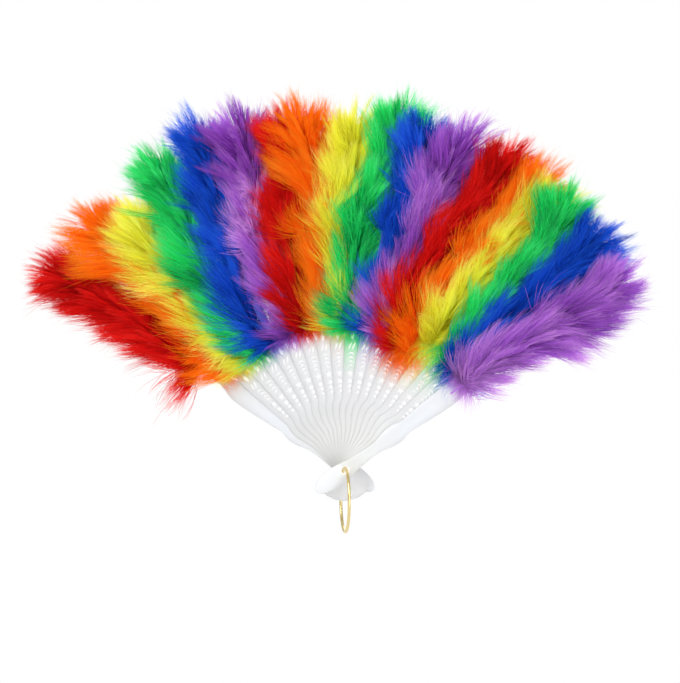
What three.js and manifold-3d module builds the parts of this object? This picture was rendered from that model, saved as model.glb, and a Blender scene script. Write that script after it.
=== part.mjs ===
// A hand-held folding fan with pierced plastic sticks and feather plumes, spread open.
// Millimetres, +Z up. The origin is the centre of the pivot hole, halfway through the stack of sticks.
// The spread fan lies in the XZ plane with its front towards -Y. Sticks are numbered from the left,
// where the back guard is, to the right, where the front guard is.
import * as THREE from 'three';
import { mergeVertices } from 'three/addons/utils/BufferGeometryUtils.js';
import loadManifold from 'manifold-3d';

const manifold = await loadManifold();
manifold.setup();

// Stack of sticks
const STICK_COUNT = 18;
const OPEN_SPAN = 108; // degrees from the back guard to the front guard
const STICK_THICKNESS = 0.85;
const GUARD_THICKNESS = 1.5;
const LAYER_GAP = 0.2;

// Ring of wire that passes through every stick and is the pivot
const RING_DIAMETER = 44; // to the middle of the wire
const RING_WIRE = 2.2;
const RING_YAW = 7.5; // degrees that the loose ring stands turned in its hole
const RING_CLEARANCE = 0.2;
const PIVOT_WALL = 3; // plastic left beside the pivot hole
const GUARD_PIVOT_WALL = 3.9;

// Stick lengths, measured outwards along the stick from the pivot
const TAIL_LENGTH = 21.5;
const GUARD_TAIL_LENGTH = 24.5;
const TAIL_BELLY = 8;
const NECK_LENGTH = 24;
const SHOULDER_LENGTH = 18.5;
const WAIST_LENGTH = 9;
const BLADE_LENGTH = 36.5;
const TAPER_LENGTH = 20;
const SLAT_LENGTH = 76;

// Stick widths
const NECK_WIDTH = 7.2;
const SHOULDER_WIDTH = 12.4;
const WAIST_WIDTH = 8.8;
const BLADE_WIDTH = 10.2;
const GUARD_NECK_WIDTH = 7.6;
const GUARD_SHOULDER_WIDTH = 13.2;
const GUARD_WAIST_WIDTH = 9.8;
const GUARD_BLADE_WIDTH = 14.2;
const BLADE_END_WIDTH = 6.4;
const SLAT_ROOT_WIDTH = 5.4;
const SLAT_TIP_WIDTH = 3.6;

// Ledge on the front of each stick where the lower quill is glued
const SEAT_FLOOR = 0.4; // plastic left under the quill on an inner stick
const SEAT_LENGTH = 16; // from the start of the ledge to the end of the blade
const SLAT_INSET = 0.04;
const SLAT_TENON = 3;

// Openings pierced through each inner stick, from the shoulder outwards
const DOT_COUNT = 3;
const DOT_START = 11.9; // from the shoulder to the first dot
const DOT_STEP = 3.4;
const DOT_RADIUS = 1;
const DOT_GROWTH = 0.26;
const STAR_STEP = 5.4; // from the last dot to the star
const STAR_POINTS = 5;
const STAR_RADIUS = 2.5;
const STAR_ROOT_RADIUS = 1.25;
const ARCH_COUNT = 4;
const ARCH_START = 4.4; // from the star to the foot of the first arch
const ARCH_STEP = 2.8;
const ARCH_WIDTH = 2.9;
const ARCH_GROWTH = 0.5;
const ARCH_RISE = 1.8;
const ARCH_BAND = 1.3;
const LEAF_START = 3.4; // from the foot of the last arch to the foot of the leaves
const LEAF_LENGTH = 5.6;
const LEAF_WIDTH = 1.3;
const LEAF_SLANT = 22; // degrees that both leaves lean to the right of the stick
const LEAF_FEET = [-2.3, 0.3]; // from the middle of the stick to the foot of each leaf
const EYE_START = 4.6; // from the tip of the leaves to the middle of the eye
const EYE_LENGTH = 6;
const EYE_WIDTH = 2.4;

// Plumes: two feathers on each stick, one rooted on the blade and one near the slat's end
const LOWER_PLUME_ROOT = 3; // from the start of the ledge to the quill's end
const LOWER_PLUME_LENGTH = 108;
const LOWER_PLUME_WIDTH = 44;
const UPPER_PLUME_SEAT = 18; // length of quill glued along the slat's end
const UPPER_PLUME_LENGTH = 91;
const UPPER_PLUME_WIDTH = 54;
const QUILL_WIDTH = 1.4;
const VANE_CLEARANCE = 0.15;
const VANE_THICKNESS = 0.3; // of an upper plume at its root
const VANE_LOFT = 0.45; // share of the room between layers that an upper plume fills
const VANE_EDGE = 0.4; // edge thickness as a share of the thickness at the shaft
const BARB_SWEEP = 0.6; // how far the barbs lean towards the tip, per width
const BARB_NOTCH = 0.8; // width in the notches between tufts, as a share of the full width
const PLUME_SPREAD = 2; // extra spacing of the layers at the plume tips
const SPREAD_POWER = 1.5;
const PLUME_LEAN = 2.5; // degrees that the outermost plumes lean outwards from their sticks

// Fineness of the facets
const PLUME_ROWS = 8;
const SLAT_STEPS = 6;
const PIVOT_SIDES = 14;
const RING_STEPS = 36;
const WIRE_SIDES = 8;

// Distances from the pivot
const shoulderRadius = NECK_LENGTH + SHOULDER_LENGTH;
const waistRadius = shoulderRadius + WAIST_LENGTH;
const bladeRadius = waistRadius + BLADE_LENGTH;
const bladeEnd = bladeRadius + TAPER_LENGTH;
const slatEnd = bladeEnd + SLAT_LENGTH;
const seatStart = bladeEnd - SEAT_LENGTH;
const lowerPlumeRoot = seatStart + LOWER_PLUME_ROOT;
const upperPlumeRoot = slatEnd - UPPER_PLUME_SEAT;
const fanReach = upperPlumeRoot + UPPER_PLUME_LENGTH;

// The stack, and the hole that lets the yawed ring through it
const degrees = THREE.MathUtils.degToRad;
const stackThickness =
  2 * GUARD_THICKNESS + (STICK_COUNT - 2) * STICK_THICKNESS + (STICK_COUNT - 1) * LAYER_GAP;
const seatDepth = STICK_THICKNESS - SEAT_FLOOR;
const ringRadius = RING_DIAMETER / 2;
const ringRun = stackThickness / 2 / Math.cos(degrees(RING_YAW));
const ringDrop = ringRadius - Math.sqrt(ringRadius ** 2 - ringRun ** 2);
const ringSideways = ringRun * Math.sin(degrees(RING_YAW));
const pivotHoleRadius = Math.hypot(ringSideways, ringDrop / 2) + RING_WIRE / 2 + RING_CLEARANCE;

const RAINBOW = [
  { name: 'red', colour: 0xd20c12 },
  { name: 'orange', colour: 0xff6e0a },
  { name: 'yellow', colour: 0xe8e132 },
  { name: 'green', colour: 0x14c85a },
  { name: 'blue', colour: 0x0f3cc3 },
  { name: 'purple', colour: 0x963cbe },
];

const isGuard = (stick) => stick === 1 || stick === STICK_COUNT;
const layerThickness = (stick) => (isGuard(stick) ? GUARD_THICKNESS : STICK_THICKNESS);
const stickTurn = (stick) => degrees(OPEN_SPAN * ((stick - 1) / (STICK_COUNT - 1) - 0.5));

// Y of the front face of a stick, counted forwards from the back of the stack.
function layerFront(stick) {
  let front = stackThickness / 2 + LAYER_GAP;
  for (let layer = 1; layer <= stick; layer += 1) {
    front -= LAYER_GAP + layerThickness(layer);
  }
  return front;
}

// Room that opens between neighbouring layers beyond the blades, at a distance from the pivot.
function layerRoom(distance) {
  const share = Math.max(0, (distance - bladeEnd) / (fanReach - bladeEnd));
  return PLUME_SPREAD * share ** SPREAD_POWER;
}

// How far a stick's slat and plumes bow forwards or back. It depends only on the distance from the
// pivot, so no layer meets its neighbour at any angle of the fan.
function layerBow(stick, distance) {
  const middle = (STICK_COUNT + 1) / 2;
  return (middle - stick) * layerRoom(distance);
}

// Joining and cutting of closed geometries
function toSolid(geometry) {
  const bare = geometry.clone();
  bare.deleteAttribute('normal');
  bare.deleteAttribute('uv');
  const merged = mergeVertices(bare, 1e-4);
  const mesh = new manifold.Mesh({
    numProp: 3,
    vertProperties: new Float32Array(merged.attributes.position.array),
    triVerts: new Uint32Array(merged.index.array),
  });
  return new manifold.Manifold(mesh);
}

function toGeometry(solid) {
  const mesh = solid.getMesh();
  const geometry = new THREE.BufferGeometry();
  geometry.setAttribute('position', new THREE.BufferAttribute(mesh.vertProperties, 3));
  geometry.setIndex(new THREE.BufferAttribute(mesh.triVerts, 1));
  geometry.computeVertexNormals();
  return geometry;
}

// A flat plate: a shape drawn across X and outwards along Z, with its front face at Y = 0.
function plate(shapes, thickness, curveSegments = 3) {
  const geometry = new THREE.ExtrudeGeometry(shapes, {
    depth: thickness,
    bevelEnabled: false,
    curveSegments,
  });
  return geometry.rotateX(Math.PI / 2).translate(0, thickness, 0);
}

// A box whose corners are moved into a long soft form. place(side, face, share, point) puts the
// point, with side from -1 to 1 across, face -1 in front and 1 behind, and share from 0 to 1 along.
function formedBox(across, along, place) {
  const geometry = new THREE.BoxGeometry(2, 2, 1, across, 1, along);
  const position = geometry.attributes.position;
  const point = new THREE.Vector3();
  for (let index = 0; index < position.count; index += 1) {
    point.fromBufferAttribute(position, index);
    place(point.x, point.y, point.z + 0.5, point);
    position.setXYZ(index, point.x, point.y, point.z);
  }
  geometry.computeVertexNormals();
  return geometry;
}

// Outline of a stick up to the end of its blade: a rounded tail, the swell round the pivot, a slim
// neck, a shoulder, a waist and the blade. The width has an extreme at each station.
function stickOutline(tail, belly, neck, shoulder, waist, blade) {
  const stations = [
    { width: belly, radius: -TAIL_BELLY, steps: 4 },
    { width: neck, radius: NECK_LENGTH, steps: 3 },
    { width: shoulder, radius: shoulderRadius, steps: 4 },
    { width: waist, radius: waistRadius, steps: 2 },
    { width: blade, radius: bladeRadius, steps: 2 },
    { width: BLADE_END_WIDTH, radius: bladeEnd, steps: 2 },
  ];
  const rightSide = [];
  let start = new THREE.Vector2(0, -tail);
  let leaving = new THREE.Vector2(belly * 0.3, -tail);
  for (const station of stations) {
    const end = new THREE.Vector2(station.width / 2, station.radius);
    const half = (station.radius - start.y) / 2;
    const arriving = new THREE.Vector2(end.x, end.y - half);
    const curve = new THREE.CubicBezierCurve(start, leaving, arriving, end);
    rightSide.push(...curve.getPoints(station.steps).slice(1));
    start = end;
    leaving = new THREE.Vector2(end.x, end.y + half / 2);
  }
  const leftSide = rightSide.map((point) => new THREE.Vector2(-point.x, point.y)).reverse();
  return new THREE.Shape([new THREE.Vector2(0, -tail), ...rightSide, ...leftSide]);
}

function dotShape(radius, middle) {
  return new THREE.Shape().absarc(0, middle, radius, 0, 2 * Math.PI);
}

function starShape(middle) {
  const points = [];
  for (let corner = 0; corner < 2 * STAR_POINTS; corner += 1) {
    const reach = corner % 2 === 0 ? STAR_RADIUS : STAR_ROOT_RADIUS;
    const turn = (corner * Math.PI) / STAR_POINTS;
    points.push(new THREE.Vector2(reach * Math.sin(turn), middle + reach * Math.cos(turn)));
  }
  return new THREE.Shape(points);
}

// An arch: a crescent with its two points down at the foot.
function archShape(width, foot) {
  const crown = foot + 2 * ARCH_RISE;
  return new THREE.Shape()
    .moveTo(width / 2, foot)
    .quadraticCurveTo(0, crown, -width / 2, foot)
    .quadraticCurveTo(0, crown - 2 * ARCH_BAND, width / 2, foot);
}

// A pointed leaf from its foot, turned to the right of the stick.
function leafShape(footX, foot, length, width, turn) {
  const along = new THREE.Vector2(Math.sin(turn), Math.cos(turn)).multiplyScalar(length);
  const across = new THREE.Vector2(Math.cos(turn), -Math.sin(turn)).multiplyScalar(width);
  const start = new THREE.Vector2(footX, foot);
  const tip = start.clone().add(along);
  const belly = start.clone().addScaledVector(along, 0.5);
  const right = belly.clone().add(across);
  const left = belly.clone().sub(across);
  return new THREE.Shape()
    .moveTo(start.x, start.y)
    .quadraticCurveTo(right.x, right.y, tip.x, tip.y)
    .quadraticCurveTo(left.x, left.y, start.x, start.y);
}

// The openings pierced through an inner stick.
function piercedShapes() {
  const shapes = [];
  let radius = shoulderRadius + DOT_START;
  for (let dot = 0; dot < DOT_COUNT; dot += 1) {
    shapes.push(dotShape(DOT_RADIUS + dot * DOT_GROWTH, radius + dot * DOT_STEP));
  }
  radius += (DOT_COUNT - 1) * DOT_STEP + STAR_STEP;
  shapes.push(starShape(radius));
  radius += ARCH_START;
  for (let arch = 0; arch < ARCH_COUNT; arch += 1) {
    shapes.push(archShape(ARCH_WIDTH + arch * ARCH_GROWTH, radius + arch * ARCH_STEP));
  }
  radius += (ARCH_COUNT - 1) * ARCH_STEP + LEAF_START;
  const leafTurn = degrees(LEAF_SLANT);
  for (const foot of LEAF_FEET) {
    shapes.push(leafShape(foot, radius, LEAF_LENGTH, LEAF_WIDTH, leafTurn));
  }
  radius += LEAF_LENGTH * Math.cos(leafTurn) + EYE_START;
  shapes.push(leafShape(0, radius - EYE_LENGTH / 2, EYE_LENGTH, EYE_WIDTH, 0));
  return shapes;
}

// The flat part of a stick, with its front face at Y = 0: cut for the pivot, thinned in front for
// the quill, and pierced if it is an inner stick.
function bladeSolid(guard) {
  const thickness = guard ? GUARD_THICKNESS : STICK_THICKNESS;
  const tail = guard ? GUARD_TAIL_LENGTH : TAIL_LENGTH;
  const belly = 2 * (pivotHoleRadius + (guard ? GUARD_PIVOT_WALL : PIVOT_WALL));
  const outline = guard
    ? stickOutline(tail, belly, GUARD_NECK_WIDTH, GUARD_SHOULDER_WIDTH, GUARD_WAIST_WIDTH, GUARD_BLADE_WIDTH)
    : stickOutline(tail, belly, NECK_WIDTH, SHOULDER_WIDTH, WAIST_WIDTH, BLADE_WIDTH);
  const overcut = thickness;
  const through = thickness + 2 * overcut;

  const circumscribed = pivotHoleRadius / Math.cos(Math.PI / PIVOT_SIDES);
  const hole = new THREE.CylinderGeometry(circumscribed, circumscribed, through, PIVOT_SIDES);
  hole.translate(0, thickness / 2, 0);

  const ledge = new THREE.BoxGeometry(2 * GUARD_BLADE_WIDTH, seatDepth + overcut, 2 * SEAT_LENGTH);
  ledge.translate(0, (seatDepth - overcut) / 2, seatStart + SEAT_LENGTH);

  let solid = toSolid(plate(outline, thickness)).subtract(toSolid(hole)).subtract(toSolid(ledge));
  if (!guard) {
    const openings = plate(piercedShapes(), through).translate(0, -overcut, 0);
    solid = solid.subtract(toSolid(openings));
  }
  return solid;
}

// The narrow slat beyond the blade, under the plumes. It bows with its layer.
function slatGeometry(stick) {
  const front = layerFront(stick) + seatDepth + SLAT_INSET;
  const back = layerFront(stick) + layerThickness(stick) - SLAT_INSET;
  return formedBox(1, SLAT_STEPS + 1, (side, face, share, point) => {
    const step = Math.round(share * (SLAT_STEPS + 1)) - 1;
    const reach = step / SLAT_STEPS;
    const radius = step < 0 ? bladeEnd - SLAT_TENON : bladeEnd + reach * SLAT_LENGTH;
    const width = THREE.MathUtils.lerp(SLAT_ROOT_WIDTH, SLAT_TIP_WIDTH, Math.max(0, reach));
    const x = (side * width) / 2;
    const y = face < 0 ? front : back;
    point.set(x, y + layerBow(stick, Math.hypot(x, radius)), radius);
  });
}

// A feather as a soft vane on its shaft, widest in the middle, with its barbs in tufts that sweep
// towards the tip. Its place and thickness in the layer come from depth(distance).
function plumeGeometry(stick, root, length, fullWidth, depth) {
  const lean = degrees(PLUME_LEAN) * (stickTurn(stick) / degrees(OPEN_SPAN / 2));
  return formedBox(2, PLUME_ROWS, (side, face, share, point) => {
    const row = Math.round(share * PLUME_ROWS);
    const tuft = row % 2 === 1 ? 1 : BARB_NOTCH;
    const swell = Math.max(0, Math.sin(Math.PI * share)) ** 0.6;
    const halfWidth = QUILL_WIDTH / 2 + ((fullWidth - QUILL_WIDTH) / 2) * swell * tuft;
    const across = side * halfWidth;
    const along = share * length + BARB_SWEEP * Math.abs(across) * (1 - share);
    const x = across * Math.cos(lean) + along * Math.sin(lean);
    const z = root + along * Math.cos(lean) - across * Math.sin(lean);
    const distance = Math.hypot(x, z);
    const { back, thickness } = depth(distance);
    const edge = side === 0 ? 1 : VANE_EDGE;
    const y = back - (thickness / 2) * (1 - face * edge);
    point.set(x, y + layerBow(stick, distance), z);
  });
}

// The lower plume lies in its stick's ledge, flush with the stick's front.
function lowerPlume(stick) {
  const thickness = seatDepth - VANE_CLEARANCE;
  const back = layerFront(stick) + thickness;
  return plumeGeometry(stick, lowerPlumeRoot, LOWER_PLUME_LENGTH, LOWER_PLUME_WIDTH, () => ({
    back,
    thickness,
  }));
}

// The upper plume lies on the lower one and fills out with the room between the layers.
function upperPlume(stick) {
  const back = layerFront(stick) - VANE_CLEARANCE;
  const roomAtRoot = layerRoom(upperPlumeRoot);
  return plumeGeometry(stick, upperPlumeRoot, UPPER_PLUME_LENGTH, UPPER_PLUME_WIDTH, (distance) => ({
    back,
    thickness: VANE_THICKNESS + VANE_LOFT * Math.max(0, layerRoom(distance) - roomAtRoot),
  }));
}

// The wire ring hangs from the pivot hole, its top arc centred in the stack.
function ringGeometry() {
  const ring = new THREE.TorusGeometry(ringRadius, RING_WIRE / 2, WIRE_SIDES, RING_STEPS);
  ring.rotateY(Math.PI / 2);
  ring.rotateZ(degrees(RING_YAW));
  return ring.translate(0, 0, ringDrop / 2 - ringRadius);
}

const plastic = () => new THREE.MeshStandardMaterial({ color: 0xeeeef3, roughness: 0.35, metalness: 0 });
const gold = () => new THREE.MeshStandardMaterial({ color: 0xc8a84a, roughness: 0.25, metalness: 1 });
const feather = (colour) => new THREE.MeshStandardMaterial({ color: colour, roughness: 0.9, metalness: 0 });

const fan = new THREE.Group();
const innerBlade = toGeometry(bladeSolid(false));
const guardBlade = toGeometry(bladeSolid(true));

for (let stick = 1; stick <= STICK_COUNT; stick += 1) {
  const number = String(stick).padStart(2, '0');
  const { colour } = RAINBOW[(stick - 1) % RAINBOW.length];
  const turned = new THREE.Group();
  turned.rotation.y = stickTurn(stick);

  const blade = (isGuard(stick) ? guardBlade : innerBlade).clone().translate(0, layerFront(stick), 0);
  const whole = toSolid(blade).add(toSolid(slatGeometry(stick)));
  const stickMesh = new THREE.Mesh(toGeometry(whole), plastic());
  stickMesh.name = `stick_${number}`;
  if (stick === 1) stickMesh.name = 'guard_back';
  if (stick === STICK_COUNT) stickMesh.name = 'guard_front';

  const lower = new THREE.Mesh(lowerPlume(stick), feather(colour));
  lower.name = `plume_lower_${number}`;
  const upper = new THREE.Mesh(upperPlume(stick), feather(colour));
  upper.name = `plume_upper_${number}`;

  turned.add(stickMesh, lower, upper);
  fan.add(turned);
}

const ring = new THREE.Mesh(ringGeometry(), gold());
ring.name = 'hanging_ring';
fan.add(ring);

export default fan;
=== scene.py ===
"""A folding fan: white pierced sticks on a gold wire ring, two dyed down plumes on every stick."""

import math

import bpy
import numpy as np
from mathutils import Matrix, Vector


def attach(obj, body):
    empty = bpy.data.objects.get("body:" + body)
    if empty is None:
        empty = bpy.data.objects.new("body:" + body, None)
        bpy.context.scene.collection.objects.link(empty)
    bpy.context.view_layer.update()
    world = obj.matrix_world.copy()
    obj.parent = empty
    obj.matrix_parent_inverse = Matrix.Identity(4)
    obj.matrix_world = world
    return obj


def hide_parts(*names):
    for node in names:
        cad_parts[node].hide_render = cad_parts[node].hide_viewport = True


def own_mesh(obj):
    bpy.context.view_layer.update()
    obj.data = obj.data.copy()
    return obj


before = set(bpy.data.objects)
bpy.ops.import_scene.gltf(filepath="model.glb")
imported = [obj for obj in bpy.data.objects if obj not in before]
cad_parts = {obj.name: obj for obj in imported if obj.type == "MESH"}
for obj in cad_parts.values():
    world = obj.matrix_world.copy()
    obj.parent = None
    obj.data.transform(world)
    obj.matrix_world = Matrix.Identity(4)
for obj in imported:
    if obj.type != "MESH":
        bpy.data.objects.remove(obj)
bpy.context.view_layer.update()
bpy.ops.object.select_all(action="DESELECT")

MM = 0.001

# The stack of sticks
STICK_COUNT = 18
OPEN_SPAN = math.radians(108)
STICK_THICKNESS = 0.85 * MM
GUARD_THICKNESS = 1.5 * MM
LAYER_GAP = 0.2 * MM
STACK_THICKNESS = 2 * GUARD_THICKNESS + (STICK_COUNT - 2) * STICK_THICKNESS + (STICK_COUNT - 1) * LAYER_GAP

# Distances from the pivot along a stick
TAIL_END = -21.5 * MM
GUARD_TAIL_END = -24.5 * MM
BELLY = -8 * MM
NECK = 24 * MM
SHOULDER = 42.5 * MM
WAIST = 51.5 * MM
BLADE = 88 * MM
BLADE_END = 108 * MM
SLAT_END = 184 * MM
FAN_REACH = 257 * MM

# Widths of a stick at its belly, and at its neck, shoulder, waist and blade
BELLY_WIDTH = 12.2 * MM
GUARD_BELLY_WIDTH = 14 * MM
STICK_WIDTHS = (7.2 * MM, 12.4 * MM, 8.8 * MM, 10.2 * MM)
GUARD_WIDTHS = (7.6 * MM, 13.2 * MM, 9.8 * MM, 14.2 * MM)
BLADE_END_WIDTH = 6.4 * MM
STICK_ROUNDING = 0.14 * MM
GUARD_ROUNDING = 0.35 * MM
# Pull of the curve round the tail, as a share of the belly's width
TAIL_ROUNDNESS = 0.3
# How far a stick's front falls away at a distance from its middle, and the cuts that carry it
CROWN = (0.3 * MM, 5 * MM)
GUARD_CROWN = (0.5 * MM, 6.5 * MM)
CROWN_CUTS = tuple(step * MM for step in (-4.2, -3, -2, -1, 0, 1, 2, 3, 4.2))
# Cuts across a stick that carry its tint
TINT_CUTS = tuple(step * MM for step in range(-14, 106, 8))

# The slat under the plumes
SLAT_ROOT_WIDTH = 5.4 * MM
SLAT_TIP_WIDTH = 3.6 * MM
SLAT_THICKNESS = 0.37 * MM
SLAT_DEPTH = 0.45 * MM
SLAT_OVERLAP = 4 * MM

# The pivot hole, and the pattern pierced through an inner stick
PIVOT_HOLE = 3.1 * MM
DOTS = ((54.4 * MM, 1.0 * MM), (57.8 * MM, 1.26 * MM), (61.2 * MM, 1.52 * MM))
STAR = 66.6 * MM
STAR_POINTS = 5
STAR_REACH = 2.5 * MM
STAR_ROOT = 1.25 * MM
ARCH_FEET = tuple((71 + 2.8 * arch) * MM for arch in range(4))
ARCH_WIDTHS = tuple((2.9 + 0.5 * arch) * MM for arch in range(4))
ARCH_RISE = 1.8 * MM
ARCH_BAND = 1.3 * MM
LEAF_FEET = ((-2.3 * MM, 82.8 * MM), (0.3 * MM, 82.8 * MM))
LEAF_LENGTH = 5.6 * MM
LEAF_WIDTH = 1.3 * MM
LEAF_SLANT = math.radians(22)
EYE_FOOT = 89.6 * MM
EYE_LENGTH = 6 * MM
EYE_WIDTH = 2.4 * MM
# Length of a quarter circle's handle, as a share of its radius
CIRCLE_PULL = 0.5523

# The wire ring
RING_RADIUS = 22 * MM
RING_WIRE = 1.1 * MM
RING_YAW = math.radians(7.5)
RING_MIDDLE = -20.78 * MM

# The layers bow apart beyond the blades
PLUME_SPREAD = 2 * MM
SPREAD_POWER = 1.5

COLOURS = ("red", "orange", "yellow", "green", "blue", "purple")
LEVELS = ("lower", "upper")
GUARD_NODES = {1: "guard_back", STICK_COUNT: "guard_front"}
GUARD_BODIES = {1: "back_guard", STICK_COUNT: "front_guard"}


def colour_of(stick):
    return COLOURS[(stick - 1) % len(COLOURS)]


def is_guard(stick):
    return stick in (1, STICK_COUNT)


def stick_turn(stick):
    return OPEN_SPAN * ((stick - 1) / (STICK_COUNT - 1) - 0.5)


def layer_front(stick):
    """Y of a stick's front face."""
    front = STACK_THICKNESS / 2 + LAYER_GAP
    for layer in range(1, stick + 1):
        front -= LAYER_GAP + (GUARD_THICKNESS if is_guard(layer) else STICK_THICKNESS)
    return front


def layer_bow(stick, distance):
    """How far a stick's slat and plumes bow towards the back at a distance from the pivot."""
    share = np.maximum(0.0, (np.asarray(distance) - BLADE_END) / (FAN_REACH - BLADE_END))
    return ((STICK_COUNT + 1) / 2 - stick) * PLUME_SPREAD * share ** SPREAD_POWER


def turned(stick, points):
    """Points on an upright stick, (across, depth, along), turned to the stick's place in the fan."""
    turn = stick_turn(stick)
    across = points[..., 0]
    along = points[..., 2]
    placed = points.copy()
    placed[..., 0] = across * math.cos(turn) + along * math.sin(turn)
    placed[..., 2] = along * math.cos(turn) - across * math.sin(turn)
    return placed


def stick_node(stick):
    return GUARD_NODES.get(stick, f"stick_{stick:02d}")


def stick_body(stick):
    return GUARD_BODIES.get(stick, f"stick_{stick:02d}")


def add_object(name, data):
    obj = bpy.data.objects.new(name, data)
    bpy.context.collection.objects.link(obj)
    return obj


def only(obj):
    """Selects one object and nothing else."""
    bpy.ops.object.select_all(action="DESELECT")
    obj.select_set(True)
    bpy.context.view_layer.objects.active = obj


def join_into(obj, other):
    """Joins another object's mesh into an object."""
    only(other)
    obj.select_set(True)
    bpy.context.view_layer.objects.active = obj
    bpy.ops.object.join()


def mesh_points(mesh):
    points = np.empty(len(mesh.vertices) * 3, np.float32)
    mesh.vertices.foreach_get("co", points)
    return points.reshape(-1, 3).astype(float)


def set_mesh_points(mesh, points):
    mesh.vertices.foreach_set("co", np.ascontiguousarray(points, np.float32).ravel())
    mesh.update()


# Materials

def new_material(name):
    material = bpy.data.materials.new(name)
    material.use_nodes = True
    return material, material.node_tree, material.node_tree.nodes["Principled BSDF"]


def set_inputs(tree, node, inputs):
    """Links a node's inputs to outputs, or gives them values of their own."""
    for socket, value in inputs.items():
        if isinstance(value, bpy.types.NodeSocket):
            tree.links.new(value, node.inputs[socket])
        else:
            node.inputs[socket].default_value = value


def add_node(tree, kind, inputs=None, **settings):
    node = tree.nodes.new(kind)
    for name, setting in settings.items():
        setattr(node, name, setting)
    set_inputs(tree, node, inputs or {})
    return node


def calculate(tree, operation, *values, clamp=False):
    node = add_node(tree, "ShaderNodeMath", dict(enumerate(values)), operation=operation, use_clamp=clamp)
    return node.outputs[0]


def map_range(tree, value, start=0.0, end=1.0, low=0.0, high=1.0, easing="LINEAR"):
    """A value carried from one range to another, and held at its ends."""
    ranges = {"Value": value, "From Min": start, "From Max": end, "To Min": low, "To Max": high}
    return add_node(tree, "ShaderNodeMapRange", ranges, interpolation_type=easing).outputs["Result"]


def mix_colours(tree, share, first, second):
    node = add_node(tree, "ShaderNodeMix", {"Factor": share, "A": first, "B": second}, data_type="RGBA")
    return node.outputs["Result"]


def attribute(tree, name):
    return add_node(tree, "ShaderNodeAttribute", attribute_name=name).outputs


def own_place(tree):
    """A point's place on the piece."""
    return add_node(tree, "ShaderNodeTexCoord").outputs["Object"]


def length_of(tree, vector):
    return add_node(tree, "ShaderNodeVectorMath", {0: vector}, operation="LENGTH").outputs["Value"]


def add_noise(tree, scale, detail):
    inputs = {"Vector": own_place(tree), "Scale": scale, "Detail": detail}
    return add_node(tree, "ShaderNodeTexNoise", inputs).outputs["Fac"]


def mix_surface(tree, output, share, first, second):
    """Mixes two shaders and shows them."""
    blend = add_node(tree, "ShaderNodeMixShader", {"Fac": share, 1: first, 2: second})
    set_inputs(tree, tree.nodes[output], {"Surface": blend.outputs["Shader"]})


def let_light_through(tree, shader, colour, share):
    """Mixes a share of light that passes through into a material."""
    through = add_node(tree, "ShaderNodeBsdfTranslucent", {"Color": colour})
    mix_surface(tree, "Material Output", share, shader.outputs["BSDF"], through.outputs["BSDF"])


# Deep, body and tip colour of each dye; the deep colour is partly painted shade inside the down and the tip
# colour partly painted light in its thin ends
DYES_AND_PAINTED_LIGHT = {
    "red": ((0.34, 0.001, 0.001), (0.82, 0.003, 0.004), (1.0, 0.050, 0.035)),
    "orange": ((0.96, 0.070, 0.000), (1.0, 0.25, 0.001), (1.0, 0.42, 0.03)),
    "yellow": ((0.66, 0.56, 0.006), (1.0, 1.0, 0.040), (1.0, 0.99, 0.30)),
    "green": ((0.001, 0.19, 0.04), (0.004, 0.84, 0.18), (0.16, 1.0, 0.42)),
    "blue": ((0.001, 0.020, 0.24), (0.004, 0.10, 0.78), (0.06, 0.30, 0.98)),
    "purple": ((0.07, 0.004, 0.18), (0.42, 0.058, 0.72), (0.88, 0.47, 0.97)),
}
# Weight of a tuft's tone against its barbs' own, and how late a barb turns to its tip colour
TUFT_WEIGHT = 0.5
TIP_POWER = 1.6


def dyed_down_group():
    """Colour of dyed down: deep at the shaft, uneven from tuft to tuft, light at the tips; the deep tone is
    partly painted shade and the light tips partly painted light.
    """
    group = bpy.data.node_groups.new("Dyed down", "ShaderNodeTree")
    for name in ("Deep", "Body", "Tip"):
        group.interface.new_socket(name, in_out="INPUT", socket_type="NodeSocketColor")
    group.interface.new_socket("Tip share", in_out="INPUT", socket_type="NodeSocketFloat")
    group.interface.new_socket("Colour", in_out="OUTPUT", socket_type="NodeSocketColor")
    given = add_node(group, "NodeGroupInput").outputs
    barb = attribute(group, "Barb")
    tones = add_node(group, "ShaderNodeSeparateColor", {"Color": barb["Color"]}).outputs
    along = tones["Red"]
    tuft_tone = tones["Blue"]

    uneven = add_node(group, "ShaderNodeMix", {"Factor": TUFT_WEIGHT, "A": tones["Green"], "B": tuft_tone})
    # Painted shade, in part: the down turns to its deep colour towards the shaft and in darker tufts
    root = map_range(group, along, end=0.55, low=0.35)
    strength = calculate(group, "MULTIPLY", uneven.outputs["Result"], root)
    widened = map_range(group, strength, start=0.02, end=0.55, easing="SMOOTHSTEP")
    body = mix_colours(group, widened, given["Deep"], given["Body"])

    # Painted light, in part: the thin ends turn to the pale tip colour
    end = calculate(group, "POWER", along, TIP_POWER)
    faded = map_range(group, tuft_tone, start=0.25, end=0.95, low=0.35, high=1.5, easing="SMOOTHSTEP")
    paler = calculate(group, "MULTIPLY", end, faded)
    patch = calculate(group, "MULTIPLY", barb["Alpha"], map_range(group, along, low=0.4))
    tip_share = calculate(group, "MULTIPLY_ADD", paler, given["Tip share"], patch, clamp=True)
    tip = mix_colours(group, tip_share, body, given["Tip"])
    add_node(group, "NodeGroupOutput", {"Colour": tip})
    return group


def down_material(colour, dyed_down):
    material, tree, shader = new_material(f"down_{colour}")
    deep, body, tip = DYES_AND_PAINTED_LIGHT[colour]
    dyes = {"Deep": (*deep, 1), "Body": (*body, 1), "Tip": (*tip, 1), "Tip share": 0.55}
    down_tint = add_node(tree, "ShaderNodeGroup", dyes, node_tree=dyed_down).outputs["Colour"]
    set_inputs(tree, shader, {"Base Color": down_tint, "Roughness": 0.8, "Specular IOR Level": 0.08})
    let_light_through(tree, shader, down_tint, share=0.45)
    return material


# A quill's pale streaks: the share of dye in them, and the white beside it
STREAK_DYE = 0.7
STREAK_WHITE = 0.22


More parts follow.
